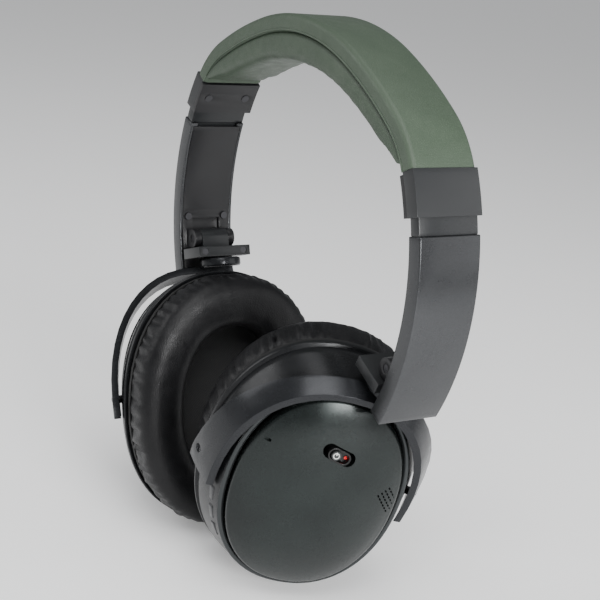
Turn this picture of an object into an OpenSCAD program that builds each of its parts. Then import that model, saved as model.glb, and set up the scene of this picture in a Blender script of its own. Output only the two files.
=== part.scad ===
// Wireless over-ear headphones: sprung headband, sliding arms, folding and
// swivelling yokes, tilting ear cups.  The wearer faces -Y and the wearer's
// left is +X.  The origin is the underside of the headband pad at its middle.

/* [Headband] */
// Width of the headband, front to back
band_w = 24.8; // [22:0.2:28]
// Thickness of the leather sleeve with what it holds
sleeve_t = 6.6; // [6:0.1:8]
// Thickness of the head pad at its middle
pad_t = 10.5; // [6:0.5:14]
// Thickness of the head pad at its two ends
pad_end_t = 2; // [1:0.5:3]
// Radius of the flatter stretch beside the top of the band
flank_r = 150; // [120:5:200]
// Heading of the band where its top arc ends, degrees from level
top_a = 20; // [16:1:24]
// Heading of the band where its flatter stretch ends
flank_a = 32; // [30:1:36]

/* [Arms] */
// Outer radius of the arms, which slide on this arc
arm_r = 90.2; // [88:0.2:94]
// Distance of the arc's centre past the middle of the headphones
arm_cx = 8; // [6:0.5:10]
// Depth of the arc's centre below the outside top of the band
arm_cz = 76.7; // [74:0.1:80]
// Width of an arm, front to back
arm_w = 23.2; // [22:0.2:23.6]
// Thickness of an arm
arm_t = 6; // [5.8:0.1:7]
// How far an arm slides in from where it stands, degrees of its arc
slide_in = 3.6; // [2:0.1:3.6]
// How far an arm slides out from where it stands, degrees of its arc
slide_out = 2.2; // [1:0.1:2.2]

/* [Hinges] */
// Radius of a fold pin
pin_r = 1.5; // [1.2:0.1:1.6]
// Gap all round a pin or shaft in its hole
run_gap = 0.05; // [0.03:0.01:0.1]
// Lean of the swivel axis, degrees from upright
hang_a = 22.4; // [18:0.2:28]
// Distance from the swivel origin down to the tilt axis
drop = 58.7; // [58.6:0.1:62]
// Distance of the tilt axis's middle behind the swivel axis
set_back = 10.3; // [6:0.5:11]
// Swivel of the left cup as it stands, outer face towards the back
swivel_l = -1; // [-10:0.5:10]
// Swivel of the right cup as it stands
swivel_r = 24.5; // [-10:0.5:30]
// Tilt of the left cup as it stands, outer face upwards
tilt_l = 12; // [8:0.5:14]
// Tilt of the right cup as it stands
tilt_r = 11; // [8:0.5:14]

/* [Ear cups] */
// Half width of a cup's flange, front to back
cup_a = 38.4; // [36:0.2:40]
// Half height of a cup's flange
cup_b = 48.2; // [46:0.2:48.2]
// Depth of the housing from flange to lip
housing_h = 18.4; // [17:0.2:19]
// Narrowing of the housing from flange to lip
housing_in = 7.4; // [6:0.2:8]
// Height of the outer cap's rim above the flange
rim_h = 22.6; // [21:0.2:24]
// Thickness of the ear cushion
cushion_t = 17.5; // [15:0.5:18]
// Wall of the moulded housings
wall = 1.8; // [1.4:0.1:2.4]
// Bore of the audio socket
socket_r = 1.3; // [1.25:0.05:1.8]

/* [Hidden] */
$fn = 64;

// angles along the arm's arc, measured from upright
cap_top_a = 61.1;
cap_end_a = 70.6;
arm_top_a = 74.3;
arm_end_a = 116.2;
pin_a = 106.5;
knuckle_a = pin_a - 5.5;
arm_screw_a = pin_a - 6;
cap_screw_a = 66;
screw_y = 8;
pin_depth = 10.5;
strip_top_a = cap_top_a - slide_in + 0.6;
plate_top_a = cap_top_a + 0.5;
strip_end_a = 84;
collar_top_a = cap_end_a - slide_out - 2.8;
// depths of the sliding strip and collar below the arm's outer face
strip_t0 = 3;
strip_t1 = 4.9;
strip_w = 17;
collar_t0 = 0.9;
collar_t1 = 5.3;
collar_w = 22.6;
plate_t = 7;

// where the foam, spring and core end inside the sleeve, and where the end
// caps' tongues and their slots for the strips begin
inner_a = 40;
tongue_a = 44;
strip_slot_a = 52;

// the headband outline: a top arc, a flatter flank and a shoulder arc that
// meets the arm's arc at cap_top_a with the same heading
join_x = arm_r * sin(cap_top_a) - arm_cx;
join_z = arm_cz - arm_r * cos(cap_top_a);
run_x = join_x - flank_r * (sin(flank_a) - sin(top_a));
run_z = join_z - flank_r * (cos(top_a) - cos(flank_a));
det = sin(top_a) * (cos(flank_a) - cos(cap_top_a))
    - (sin(cap_top_a) - sin(flank_a)) * (1 - cos(top_a));
top_r = (run_x * (cos(flank_a) - cos(cap_top_a))
    - run_z * (sin(cap_top_a) - sin(flank_a))) / det;
shoulder_r = (sin(top_a) * run_z - (1 - cos(top_a)) * run_x) / det;
flank_cx = (top_r - flank_r) * sin(top_a);
flank_cz = -top_r + (top_r - flank_r) * cos(top_a);
shoulder_cx = join_x - shoulder_r * sin(cap_top_a);
shoulder_cz = -join_z - shoulder_r * cos(cap_top_a);
pad_a = 56;
apex_drop = sleeve_t + pad_t;

// places on an arm in the frame of the headband's outline
pin_x = (arm_r - pin_depth) * sin(pin_a) - arm_cx;
pin_z = (arm_r - pin_depth) * cos(pin_a) - arm_cz;
hub_x = 62.2;
hub_z = -98.1;
pin_up = (pin_x - hub_x) * sin(hang_a) + (pin_z - hub_z) * cos(hang_a);
pin_out = (pin_x - hub_x) * cos(hang_a) - (pin_z - hub_z) * sin(hang_a);

lug_r = 3.6;
lug_y0 = 6;
lug_y1 = 8.6;
block_top = -2.8;
block_end = -6.8;
block_w = 22.6;
block_in = -4.4;
block_out = 9;
shaft_r = 2.6;
pivot_h = 8;
yoke_gap = 1.5;
yoke_t = 2.6;
yoke_in = 4;
yoke_out = 9.5;
ear_drop = 7;
pivot_r = 1.5;
cap_rise = 8;
// 2 is an ellipse, more is squarer
cup_square = 2.2;
// places on the right cap of the holes over its microphones
mic_holes = [[22.2, 19.3], [-24.5, 5.4]];
oval_n = 48;
pad_h = cushion_t - 2.6;
ear_a = 20;
ear_b = 29;
switch_r = 2.3;
switch_run = 3.4;
switch_x = -1.4;
switch_y = 21.4;
switch_z = rim_h + 6.6;
switch_lean_x = 0;
switch_lean_y = 8;
switch_turn = 15.6;
knob_travel = 2.7;
button_h = 14.2;
button_w = 2.6;
button_l = 5.6;
button_gap = 0.3;
// slope of the housing's wall where the buttons are
wall_lean = 26;
button_as = [-37, -26, -15];
port_h = 11;

// a point of the outline at a heading, at a depth below the outside
function outline(h, t) =
    let(a = abs(h), s = sign(h))
    a <= top_a ? [s * (top_r - t) * sin(a), -top_r + (top_r - t) * cos(a)]
    : a <= flank_a ? [s * (flank_cx + (flank_r - t) * sin(a)), flank_cz + (flank_r - t) * cos(a)]
    : [s * (shoulder_cx + (shoulder_r - t) * sin(a)), shoulder_cz + (shoulder_r - t) * cos(a)];

function pad_depth(h) = pad_end_t + (pad_t - pad_end_t) * pow(cos(h * 90 / pad_a), 0.8);

// headings between two ends, on one grid so that layers share their corners
function headings(h0, h1) =
    concat([h0], [for (h = [-90 : 2 : 90]) if (h > h0 + 0.1 && h < h1 - 0.1) h], [h1]);

// a strip of the band from heading h0 to h1, between two depths
module band_strip(h0, h1, t0, t1, w) {
    heads = headings(h0, h1);
    n = len(heads) - 1;
    rotate([90, 0, 0])
        linear_extrude(w, center = true)
            polygon(concat(
                [for (h = heads) outline(h, t0)],
                [for (i = [n : -1 : 0]) outline(heads[i], t1)]));
}

// a bar on the arm's arc from angle a0 to a1, between two depths
module arc_bar(a0, a1, t0, t1, w) {
    translate([-arm_cx, 0, -arm_cz])
        rotate([90, 0, 0])
            rotate([0, 0, 90 - a1])
                rotate_extrude(angle = a1 - a0, $fn = 180)
                    translate([arm_r - t1, -w / 2])
                        square([t1 - t0, w]);
}

// turns a child so that its Z axis points out of the arm at an angle and depth
module on_arc(a, t, y = 0) {
    translate([(arm_r - t) * sin(a) - arm_cx, y, (arm_r - t) * cos(a) - arm_cz])
        rotate([0, a, 0])
            children();
}

// the whole model is raised so that the pad's underside is the origin
module placed() {
    translate([0, 0, apex_drop])
        children();
}

module left() {
    placed()
        children();
}

module right() {
    placed()
        mirror([1, 0, 0])
            children();
}

// local axes of a hinge: X to the back, Y up the swivel axis, Z outwards
module at_hinge() {
    translate([hub_x, 0, hub_z])
        rotate([0, hang_a, 0])
            rotate([90, 0, 90])
                children();
}

module at_yoke(swivel) {
    at_hinge()
        rotate([0, swivel, 0])
            children();
}

// local axes of a cup: the tilt axis is X, and Z points out of the cup
module at_cup(swivel, tilt) {
    at_yoke(swivel)
        translate([set_back, -drop, 0])
            rotate([-tilt, 0, 0])
                children();
}

// the same with the origin in the plane of the flange
module at_flange(swivel, tilt) {
    at_cup(swivel, tilt)
        translate([0, 0, -pivot_h])
            children();
}

// a corner of a slightly squared oval with half sizes a and b
function edge(a, b, t) = [
    a * sign(cos(t)) * pow(abs(cos(t)), 2 / cup_square),
    b * sign(sin(t)) * pow(abs(sin(t)), 2 / cup_square)];

module oval(a, b, h) {
    linear_extrude(h)
        polygon([for (i = [0 : oval_n - 1]) edge(a, b, i * 360 / oval_n)]);
}

// half width and half height of the housing at a height above the flange
function housing_step(h) = housing_in * pow(h / housing_h, 1.35);

// a stack of ovals that follows the housing, moved outwards by grow
module housing_form(grow, h0, h1) {
    levels = [h0, h0 + (h1 - h0) * 0.3, h0 + (h1 - h0) * 0.6, h0 + (h1 - h0) * 0.82, h1];
    n = oval_n;
    rings = [for (h = levels) [for (i = [0 : n - 1])
        concat(edge(cup_a - housing_step(h) + grow, cup_b - housing_step(h) + grow, i * 360 / n), h)]];
    pts = [for (r = rings) each r];
    last = len(levels) - 1;
    sides = [for (k = [0 : last - 1]) for (i = [0 : n - 1])
        [k * n + i, (k + 1) * n + i, (k + 1) * n + (i + 1) % n, k * n + (i + 1) % n]];
    polyhedron(pts, concat(sides, [[for (i = [0 : n - 1]) i]],
        [[for (i = [n - 1 : -1 : 0]) last * n + i]]));
}

/* ---- headband ---- */

module headband_cover() {
    color([0.32, 0.40, 0.31])
        placed()
            difference() {
                band_strip(-cap_top_a, cap_top_a, 0, sleeve_t, band_w);
                band_strip(-cap_top_a - 1, cap_top_a + 1, 1, sleeve_t - 1, band_w - 2);
            }
}

module headband_foam() {
    color([0.75, 0.75, 0.7])
        placed()
            band_strip(-inner_a, inner_a, 1, 2.4, band_w - 2);
}

module headband_spring() {
    color([0.7, 0.7, 0.72])
        placed()
            band_strip(-inner_a, inner_a, 2.4, 3.2, 16);
}

module headband_core() {
    color([0.15, 0.15, 0.15])
        placed()
            band_strip(-inner_a, inner_a, 4.4, sleeve_t - 1, band_w - 2);
}

module headband_cable() {
    color([0.5, 0.1, 0.1])
        placed()
            band_strip(-inner_a, inner_a, 3.2, 4.4, 8);
}

module headband_pad() {
    heads = headings(-pad_a, pad_a);
    n = len(heads) - 1;
    color([0.30, 0.38, 0.29])
        placed()
            rotate([90, 0, 0])
                linear_extrude(band_w - 0.8, center = true)
                    polygon(concat(
                        [for (h = heads) outline(h, sleeve_t)],
                        [for (i = [n : -1 : 0]) outline(heads[i], sleeve_t + pad_depth(heads[i]))]));
}

module end_cap() {
    color([0.29, 0.29, 0.30])
        difference() {
            union() {
                arc_bar(cap_top_a, cap_end_a, 0, collar_t1 + 0.1, band_w);
                band_strip(tongue_a, cap_top_a + 0.4, 1, sleeve_t - 1, band_w - 2);
            }
            arc_bar(collar_top_a - slide_in - 0.3, cap_end_a + 1,
                collar_t0 - 0.1, collar_t1 + 0.2, collar_w + 0.2);
            arc_bar(strip_slot_a, cap_end_a + 1, strip_t0 - run_gap, strip_t1 + run_gap, strip_w + 2 * run_gap);
        }
}

module cap_plate() {
    color([0.2, 0.2, 0.21])
        difference() {
            arc_bar(plate_top_a, cap_end_a, collar_t1 + 0.1, plate_t, band_w);
            for (y = [-screw_y, screw_y])
                on_arc(cap_screw_a, plate_t, y)
                    translate([0, 0, -1])
                        cylinder(r = 1.5, h = 3);
        }
}

module cap_screw_pair() {
    for (y = [-screw_y, screw_y])
        on_arc(cap_screw_a, plate_t, y)
            rotate([180, 0, 0])
                translate([0, 0, -0.9])
                    cylinder(r = 1.5, h = 1.1);
}

module cap_screws() {
    color([0.6, 0.6, 0.6]) {
        left()
            cap_screw_pair();
        right()
            cap_screw_pair();
    }
}

/* ---- arms ---- */

module slider() {
    color([0.2, 0.2, 0.21]) {
        arc_bar(collar_top_a, arm_top_a, collar_t0, collar_t1, collar_w);
        arc_bar(strip_top_a, strip_end_a, strip_t0, strip_t1, strip_w);
    }
}

module arm_cover() {
    color([0.38, 0.38, 0.39])
        difference() {
            arc_bar(arm_top_a, arm_end_a, 0, arm_t, arm_w);
            arc_bar(arm_top_a + 1, arm_end_a - 0.8, 1.4, arm_t + 1, arm_w - 2.8);
            arc_bar(arm_top_a - 1, strip_end_a + 1, strip_t0 - 0.1, strip_t1 + 2, strip_w + 0.2);
        }
}

module arm_frame() {
    color([0.12, 0.12, 0.13])
        difference() {
            union() {
                arc_bar(arm_top_a + 1, arm_end_a - 0.8, 1.4, arm_t, arm_w - 2.8);
                for (s = [-1, 1])
                    on_arc(pin_a, pin_depth)
                        translate([0, s * (lug_y0 + lug_y1) / 2, 0])
                            rotate([90, 0, 0]) {
                                cylinder(r = lug_r, h = lug_y1 - lug_y0, center = true);
                                translate([-lug_r, 0, -(lug_y1 - lug_y0) / 2])
                                    cube([2 * lug_r, pin_depth - arm_t + 0.5, lug_y1 - lug_y0]);
                            }
            }
            arc_bar(arm_top_a - 1, strip_end_a, strip_t0, strip_t1, strip_w);
            arc_bar(knuckle_a, arm_end_a, 4.4, arm_t + 1, 2 * lug_y0 - 0.2);
            on_arc(pin_a, pin_depth)
                rotate([90, 0, 0])
                    cylinder(r = pin_r, h = 30, center = true);
            for (y = [-screw_y, screw_y])
                on_arc(arm_screw_a, arm_t, y)
                    translate([0, 0, -0.6])
                        cylinder(r = 1.4, h = 1.2);
        }
}

module arm_screws() {
    color([0.65, 0.65, 0.65])
        for (y = [-screw_y, screw_y])
            on_arc(arm_screw_a, arm_t, y)
                translate([0, 0, -0.6])
                    cylinder(r = 1.4, h = 1.2);
}

module fold_pin() {
    color([0.7, 0.7, 0.72])
        on_arc(pin_a, pin_depth)
            rotate([90, 0, 0])
                cylinder(r = pin_r, h = 2 * lug_y1 - 0.4, center = true);
}

/* ---- hinge block and yoke ---- */

// the block hangs on the fold pin and carries the swivel bearing
module hinge_block() {
    color([0.2, 0.2, 0.21])
        at_hinge()
            difference() {
                union() {
                    translate([0, pin_up, pin_out])
                        rotate([0, 90, 0])
                            cylinder(r = 3.7, h = 2 * lug_y0 - 0.4, center = true);
                    translate([-(lug_y0 - 0.2), block_top - 0.5, pin_out - 3.7])
                        cube([2 * lug_y0 - 0.4, pin_up - block_top + 0.5, 7.4]);
                    translate([-block_w / 2, block_end, block_in])
                        cube([block_w, block_top - block_end, block_out - block_in]);
                }
                translate([0, pin_up, pin_out])
                    rotate([0, 90, 0])
                        cylinder(r = pin_r + run_gap, h = 40, center = true);
                translate([0, block_top - 1, 0])
                    rotate([90, 0, 0])
                        cylinder(r = shaft_r + run_gap, h = 20);
                for (s = [-1, 1])
                    translate([s * 8.4, (block_top + block_end) / 2, block_in - 1])
                        cylinder(r = 1.3, h = 2.8);
            }
}

module hinge_screws() {
    color([0.5, 0.5, 0.5])
        at_hinge()
            for (s = [-1, 1])
                translate([s * 8.4, (block_top + block_end) / 2, block_in + 0.2])
                    cylinder(r = 1.3, h = 1.6);
}

// the yoke: a broad arch over the housing's shoulder, a hub under the hinge
// block with the swivel shaft, and two ears that carry the tilt pins
module yoke(swivel) {
    color([0.22, 0.22, 0.23])
        at_yoke(swivel)
            difference() {
                union() {
                    difference() {
                        translate([set_back, -drop, -pivot_h])
                            housing_form(yoke_gap + yoke_t, pivot_h - yoke_in, pivot_h + yoke_out);
                        translate([-60, -drop - 100 - ear_drop, -30])
                            cube([140, 100, 60]);
                    }
                    translate([0, block_end - 0.3, 0])
                        rotate([90, 0, 0])
                            cylinder(r = 8, h = 6);
                    translate([0, block_end - 1, 0])
                        rotate([-90, 0, 0])
                            cylinder(r = shaft_r, h = block_top - block_end - 0.2);
                }
                translate([set_back, -drop, -pivot_h])
                    housing_form(yoke_gap, 0.5, pivot_h + yoke_out + 2);
                translate([set_back, -drop, 0])
                    rotate([0, 90, 0])
                        cylinder(r = pivot_r, h = 200, center = true);
            }
}

module yoke_pins(swivel) {
    color([0.7, 0.7, 0.72])
        at_yoke(swivel)
            translate([set_back, -drop, 0])
                for (s = [0, 180])
                    rotate([0, 90 + s, 0])
                        translate([0, 0, cup_a - housing_step(pivot_h) - 3.6])
                            cylinder(r = pivot_r, h = 7.2);
}

/* ---- ear cups ---- */

// the moulded rear housing with its flange, open to both sides
module housing_shell(swivel, tilt) {
    color([0.25, 0.25, 0.26])
        at_flange(swivel, tilt)
            difference() {
                union() {
                    oval(cup_a, cup_b, 1.8);
                    housing_form(-0.6, 1, housing_h);
                }
                translate([0, 0, -1])
                    oval(cup_a - 3, cup_b - 3, 2.2);
                housing_form(-0.6 - wall, 1.1, housing_h - wall);
                translate([0, 0, housing_h - 2 * wall])
                    oval(cup_a - housing_in - 5, cup_b - housing_in - 5, 3 * wall);
                translate([0, 0, pivot_h])
                    rotate([0, 90, 0])
                        cylinder(r = pivot_r + run_gap, h = 200, center = true);
            }
}

module cup_housing_left() {
    difference() {
        housing_shell(swivel_l, tilt_l);
        at_port(swivel_l, tilt_l)
            cylinder(r = 3.05, h = 30, center = true);
    }
}

module cup_housing_right() {
    difference() {
        housing_shell(swivel_r, tilt_r);
        at_port(swivel_r, tilt_r)
            cube([8.5, 3.9, 16], center = true);
        for (a = button_as)
            at_button(a)
                cube([8, button_l + 2 * button_gap, button_w + 2 * button_gap], center = true);
    }
}

// a place on the bottom wall of a cup: Z down out of the wall
module at_port(swivel, tilt) {
    at_flange(swivel, tilt)
        translate([0, -(cup_b - housing_step(port_h) - 0.4), port_h])
            rotate([90, 0, 0])
                children();
}

// a raised lip round the housing's outer end
module lip_ring(swivel, tilt) {
    a = cup_a - housing_in + 0.2;
    b = cup_b - housing_in + 0.2;
    color([0.3, 0.3, 0.31])
        at_flange(swivel, tilt)
            translate([0, 0, housing_h])
                difference() {
                    oval(a, b, 1.6);
                    translate([0, 0, -1])
                        oval(a - 1.8, b - 1.8, 4);
                }
}

// the outer cap: a shallow crowned shell on a short skirt
module cap_form(a, b, rise, h0) {
    steps = 7;
    n = oval_n;
    rings = concat([[for (i = [0 : n - 1]) concat(edge(a, b, i * 360 / n), h0)]],
        [for (k = [0 : steps - 1]) [for (i = [0 : n - 1])
            let(f = k / steps, w = sqrt(1 - pow(f, 2)))
            concat(edge(a * w, b * w, i * 360 / n), rim_h + rise * f)]]);
    pts = concat([for (r = rings) each r], [[0, 0, rim_h + rise]]);
    last = len(rings) - 1;
    top = len(pts) - 1;
    sides = [for (k = [0 : last - 1]) for (i = [0 : n - 1])
        [k * n + i, (k + 1) * n + i, (k + 1) * n + (i + 1) % n, k * n + (i + 1) % n]];
    tip = [for (i = [0 : n - 1]) [last * n + i, top, last * n + (i + 1) % n]];
    polyhedron(pts, concat(sides, tip, [[for (i = [0 : n - 1]) i]]));
}

module cup_cap(swivel, tilt, slot = false) {
    a = cup_a - housing_in - 2.4;
    b = cup_b - housing_in - 2.4;
    color([0.36, 0.38, 0.38])
        at_flange(swivel, tilt)
            difference() {
                cap_form(a, b, cap_rise, housing_h + 0.1);
                cap_form(a - wall, b - wall, cap_rise - wall, housing_h - 1);
                if (slot)
                    at_switch()
                        switch_outline(0.2, 6);
                if (slot)
                    for (m = mic_holes)
                        translate([m[0], m[1], rim_h])
                            cylinder(r = 0.7, h = 12);
            }
}

// the place of the power switch on the right cap, its slide along X
module at_switch() {
    translate([switch_x, switch_y, switch_z])
        rotate([-switch_lean_y, -switch_lean_x, switch_turn])
            children();
}

module switch_outline(grow, depth) {
    translate([0, 0, -depth])
        linear_extrude(depth + 5)
            union() {
                translate([-switch_run / 2, -switch_r - grow])
                    square([switch_run, 2 * (switch_r + grow)]);
                for (s = [-1, 1])
                    translate([s * switch_run / 2, 0])
                        circle(r = switch_r + grow);
            }
}

module switch_slot() {
    color([0.05, 0.05, 0.05])
        at_flange(swivel_r, tilt_r)
            at_switch()
                difference() {
                    intersection() {
                        switch_outline(0.15, 4);
                        translate([-10, -10, -4])
                            cube([20, 20, 3.7]);
                    }
                    intersection() {
                        switch_outline(-0.5, 2.4);
                        translate([-10, -10, -2.4])
                            cube([20, 20, 6]);
                    }
                }
}

module power_switch() {
    color([0.7, 0.7, 0.72])
        at_flange(swivel_r, tilt_r)
            at_switch()
                translate([knob_travel / 2, 0, -1.75])
                    cylinder(r = switch_r - 0.7, h = 2);
}

module status_light() {
    color([0.7, 0.1, 0.1])
        at_flange(swivel_r, tilt_r)
            at_switch()
                translate([-switch_run / 2 - 1.1, 0, -2.4])
                    cylinder(r = 0.6, h = 0.35);
}

module baffle(swivel, tilt) {
    color([0.1, 0.1, 0.1])
        at_flange(swivel, tilt)
            difference() {
                translate([0, 0, -1])
                    oval(cup_a - 3.2, cup_b - 3.2, 2);
                translate([0, 0, -3])
                    cylinder(r = 20.2, h = 6);
            }
}

module driver(swivel, tilt) {
    color([0.5, 0.5, 0.5])
        at_flange(swivel, tilt)
            rotate_extrude()
                polygon([[0, -1], [12, -0.2], [20, -1], [20, 1], [17, 4], [9, 7], [0, 7]]);
}

// the carrier that the cushion's skin is drawn over and that clips on
module cushion_frame(swivel, tilt) {
    color([0.1, 0.1, 0.1])
        at_flange(swivel, tilt)
            translate([0, 0, -2.6])
                difference() {
                    oval(cup_a - 1, cup_b - 1, 1.5);
                    translate([0, 0, -1])
                        oval(cup_a - 11, cup_b - 13, 4);
                }
}

module ear_cushion(swivel, tilt) {
    layers = [[0, -1.6], [0.25, -0.2], [0.6, 0], [0.85, -1.6], [1, -5]];
    color([0.08, 0.08, 0.08])
        at_flange(swivel, tilt)
            rotate([180, 0, 0])
                translate([0, 0, 2.6])
                    difference() {
                        union()
                            for (i = [0 : len(layers) - 2])
                                translate([0, 0, layers[i][0] * pad_h])
                                    oval(cup_a + max(layers[i][1], layers[i + 1][1]),
                                        cup_b + max(layers[i][1], layers[i + 1][1]),
                                        (layers[i + 1][0] - layers[i][0]) * pad_h);
                        translate([0, 0, -1])
                            oval(ear_a, ear_b, pad_h + 2);
                    }
}

module scrim(swivel, tilt) {
    color([0.05, 0.05, 0.05])
        at_flange(swivel, tilt)
            translate([0, 0, -2.2])
                oval(cup_a - 11.3, cup_b - 13.3, 0.8);
}

module battery() {
    color([0.6, 0.6, 0.65])
        at_flange(swivel_l, tilt_l)
            translate([-15, -14, 9])
                cube([30, 28, 4.5]);
}

module main_board() {
    color([0.1, 0.35, 0.15])
        at_flange(swivel_r, tilt_r)
            translate([-16, -26, 9.4])
                cube([32, 52, 1.2]);
}

module audio_board() {
    color([0.1, 0.35, 0.15])
        at_flange(swivel_l, tilt_l)
            translate([-12, -31, 9])
                cube([24, 16, 1.2]);
}

// small capsules behind the holes; the two cups carry mirrored sets
module microphones(swivel, tilt) {
    color([0.7, 0.6, 0.3])
        at_flange(swivel, tilt)
            for (m = mic_holes)
                translate([m[0] * 0.8, m[1] * 0.8, housing_h + 1])
                    cylinder(r = 2, h = 1.6);
}

// a place on the sloping rear wall of the right cup: X out of the wall
module at_button(a) {
    at_flange(swivel_r, tilt_r)
        translate(concat(edge(cup_a - housing_step(button_h) - 0.6,
                cup_b - housing_step(button_h) - 0.6, a), button_h))
            rotate([0, 0, atan2(sin(a) / cup_b, cos(a) / cup_a)])
                rotate([0, -wall_lean, 0])
                    children();
}

module button_plate() {
    color([0.2, 0.2, 0.2])
        for (a = button_as)
            at_button(a)
                difference() {
                    translate([-3.6, -button_l / 2 - button_gap, -button_w / 2 - 0.6])
                        cube([1, button_l + 2 * button_gap, button_w + 1.2]);
                    translate([-4, -1.6, -0.6])
                        cube([3, 3.2, 1.2]);
                }
}

// a button: a cap that stands proud of the housing and presses in
module button(a) {
    color([0.3, 0.3, 0.3])
        at_button(a)
            translate([-1.7, -button_l / 2, -button_w / 2])
                cube([2.5, button_l, button_w]);
}

module volume_up() {
    button(button_as[2]);
}

module action_button() {
    button(button_as[1]);
}

module volume_down() {
    button(button_as[0]);
}

module charging_port() {
    color([0.6, 0.6, 0.6])
        at_port(swivel_r, tilt_r)
            difference() {
                translate([-4.2, -1.9, -6])
                    cube([8.4, 3.8, 6]);
                translate([-3.7, -1.4, -5])
                    cube([7.4, 2.8, 6]);
            }
}

module audio_socket() {
    color([0.6, 0.6, 0.6])
        at_port(swivel_l, tilt_l)
            translate([0, 0, -12])
                difference() {
                    cylinder(r = 3, h = 12);
                    translate([0, 0, 1])
                        cylinder(r = socket_r, h = 14);
                }
}

headband_cover();
headband_foam();
headband_spring();
headband_core();
headband_cable();
headband_pad();
left() end_cap();  // end_cap_left
right() end_cap();  // end_cap_right
left() cap_plate();  // cap_plate_left
right() cap_plate();  // cap_plate_right
cap_screws();
left() slider();  // slider_left
right() slider();  // slider_right
left() arm_cover();  // arm_cover_left
right() arm_cover();  // arm_cover_right
left() arm_frame();  // arm_frame_left
right() arm_frame();  // arm_frame_right
left() arm_screws();  // arm_screws_left
right() arm_screws();  // arm_screws_right
left() fold_pin();  // fold_pin_left
right() fold_pin();  // fold_pin_right
left() hinge_block();  // hinge_block_left
right() hinge_block();  // hinge_block_right
left() hinge_screws();  // hinge_screws_left
right() hinge_screws();  // hinge_screws_right
left() yoke(swivel_l);  // yoke_left
right() yoke(swivel_r);  // yoke_right
left() yoke_pins(swivel_l);  // yoke_pins_left
right() yoke_pins(swivel_r);  // yoke_pins_right
left() cup_housing_left();
right() cup_housing_right();
left() cup_cap(swivel_l, tilt_l);  // cup_cap_left
right() cup_cap(swivel_r, tilt_r, true);  // cup_cap_right
left() lip_ring(swivel_l, tilt_l);  // lip_ring_left
right() lip_ring(swivel_r, tilt_r);  // lip_ring_right
left() baffle(swivel_l, tilt_l);  // baffle_left
right() baffle(swivel_r, tilt_r);  // baffle_right
left() driver(swivel_l, tilt_l);  // driver_left
right() driver(swivel_r, tilt_r);  // driver_right
left() cushion_frame(swivel_l, tilt_l);  // cushion_frame_left
right() cushion_frame(swivel_r, tilt_r);  // cushion_frame_right
left() ear_cushion(swivel_l, tilt_l);  // ear_cushion_left
right() ear_cushion(swivel_r, tilt_r);  // ear_cushion_right
left() scrim(swivel_l, tilt_l);  // scrim_left
right() scrim(swivel_r, tilt_r);  // scrim_right
left() battery();
right() main_board();
left() audio_board();
left() microphones(swivel_l, tilt_l);  // microphones_left
right() microphones(swivel_r, tilt_r);  // microphones_right
right() switch_slot();
right() power_switch();
right() status_light();
right() button_plate();
right() volume_up();
right() action_button();
right() volume_down();
right() charging_port();
left() audio_socket();
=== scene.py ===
"""Looks of a pair of wireless over-ear headphones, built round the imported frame."""
import math

import bpy
from mathutils import Matrix, Vector, noise


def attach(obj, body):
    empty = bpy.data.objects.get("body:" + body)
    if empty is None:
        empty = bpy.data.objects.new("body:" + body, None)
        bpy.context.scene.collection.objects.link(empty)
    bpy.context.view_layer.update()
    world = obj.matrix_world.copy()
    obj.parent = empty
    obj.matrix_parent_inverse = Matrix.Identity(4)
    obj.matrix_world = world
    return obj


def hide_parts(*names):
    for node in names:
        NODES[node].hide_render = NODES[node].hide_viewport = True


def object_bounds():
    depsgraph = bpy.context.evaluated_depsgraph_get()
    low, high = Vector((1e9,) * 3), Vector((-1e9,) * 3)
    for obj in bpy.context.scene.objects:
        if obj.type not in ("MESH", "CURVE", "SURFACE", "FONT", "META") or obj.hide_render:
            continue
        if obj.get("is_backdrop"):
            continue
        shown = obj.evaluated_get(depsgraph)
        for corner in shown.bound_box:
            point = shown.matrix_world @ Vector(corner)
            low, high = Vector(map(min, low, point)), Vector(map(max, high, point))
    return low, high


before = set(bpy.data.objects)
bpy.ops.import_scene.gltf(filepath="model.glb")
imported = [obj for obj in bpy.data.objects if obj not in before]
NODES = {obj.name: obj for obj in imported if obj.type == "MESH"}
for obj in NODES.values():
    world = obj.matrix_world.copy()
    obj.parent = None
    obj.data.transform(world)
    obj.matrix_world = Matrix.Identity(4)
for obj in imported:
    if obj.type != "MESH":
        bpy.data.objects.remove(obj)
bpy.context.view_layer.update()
MM = 0.001
SIDES = {"left": 1, "right": -1}


def rad(degrees):
    return math.radians(degrees)


# ---- driving dimensions, millimetres and degrees, as the frame has them ----

BAND_W, SLEEVE_T, PAD_T, PAD_END_T, PAD_A = 24.8, 6.6, 10.5, 2.0, 56.0
TOP_A, FLANK_A, FLANK_R = 20.0, 32.0, 150.0
ARM_R, ARM_CX, ARM_CZ = 90.2, 8.0, 76.7
CAP_TOP_A = 61.1
APEX = SLEEVE_T + PAD_T
HUB_X, HUB_Z, HANG_A, DROP, SET_BACK, PIVOT_H = 62.2, -98.1, 22.4, 58.7, 10.3, 8.0
SWIVEL = {"left": -1.0, "right": 24.5}
TILT = {"left": 12.0, "right": 11.0}
CUP_A, CUP_B, HOUSING_H, HOUSING_IN = 38.4, 48.2, 18.4, 7.4
RIM_H, CAP_RISE, CUSHION_T = 22.6, 8.0, 17.5
EAR_A, EAR_B = 20.0, 29.0
SQUARE = 2.2  # 2 is an ellipse, more is squarer
ROPE_R = 0.45
SWITCH = (-1.4, 21.4, RIM_H + 6.6)
SWITCH_R, SWITCH_RUN, SWITCH_TURN, SWITCH_LEAN = 2.3, 3.4, 15.6, 8.0
MIC_SLOT = (22.2, 19.3)
GRILLE = (-24.5, 5.4)


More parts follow.
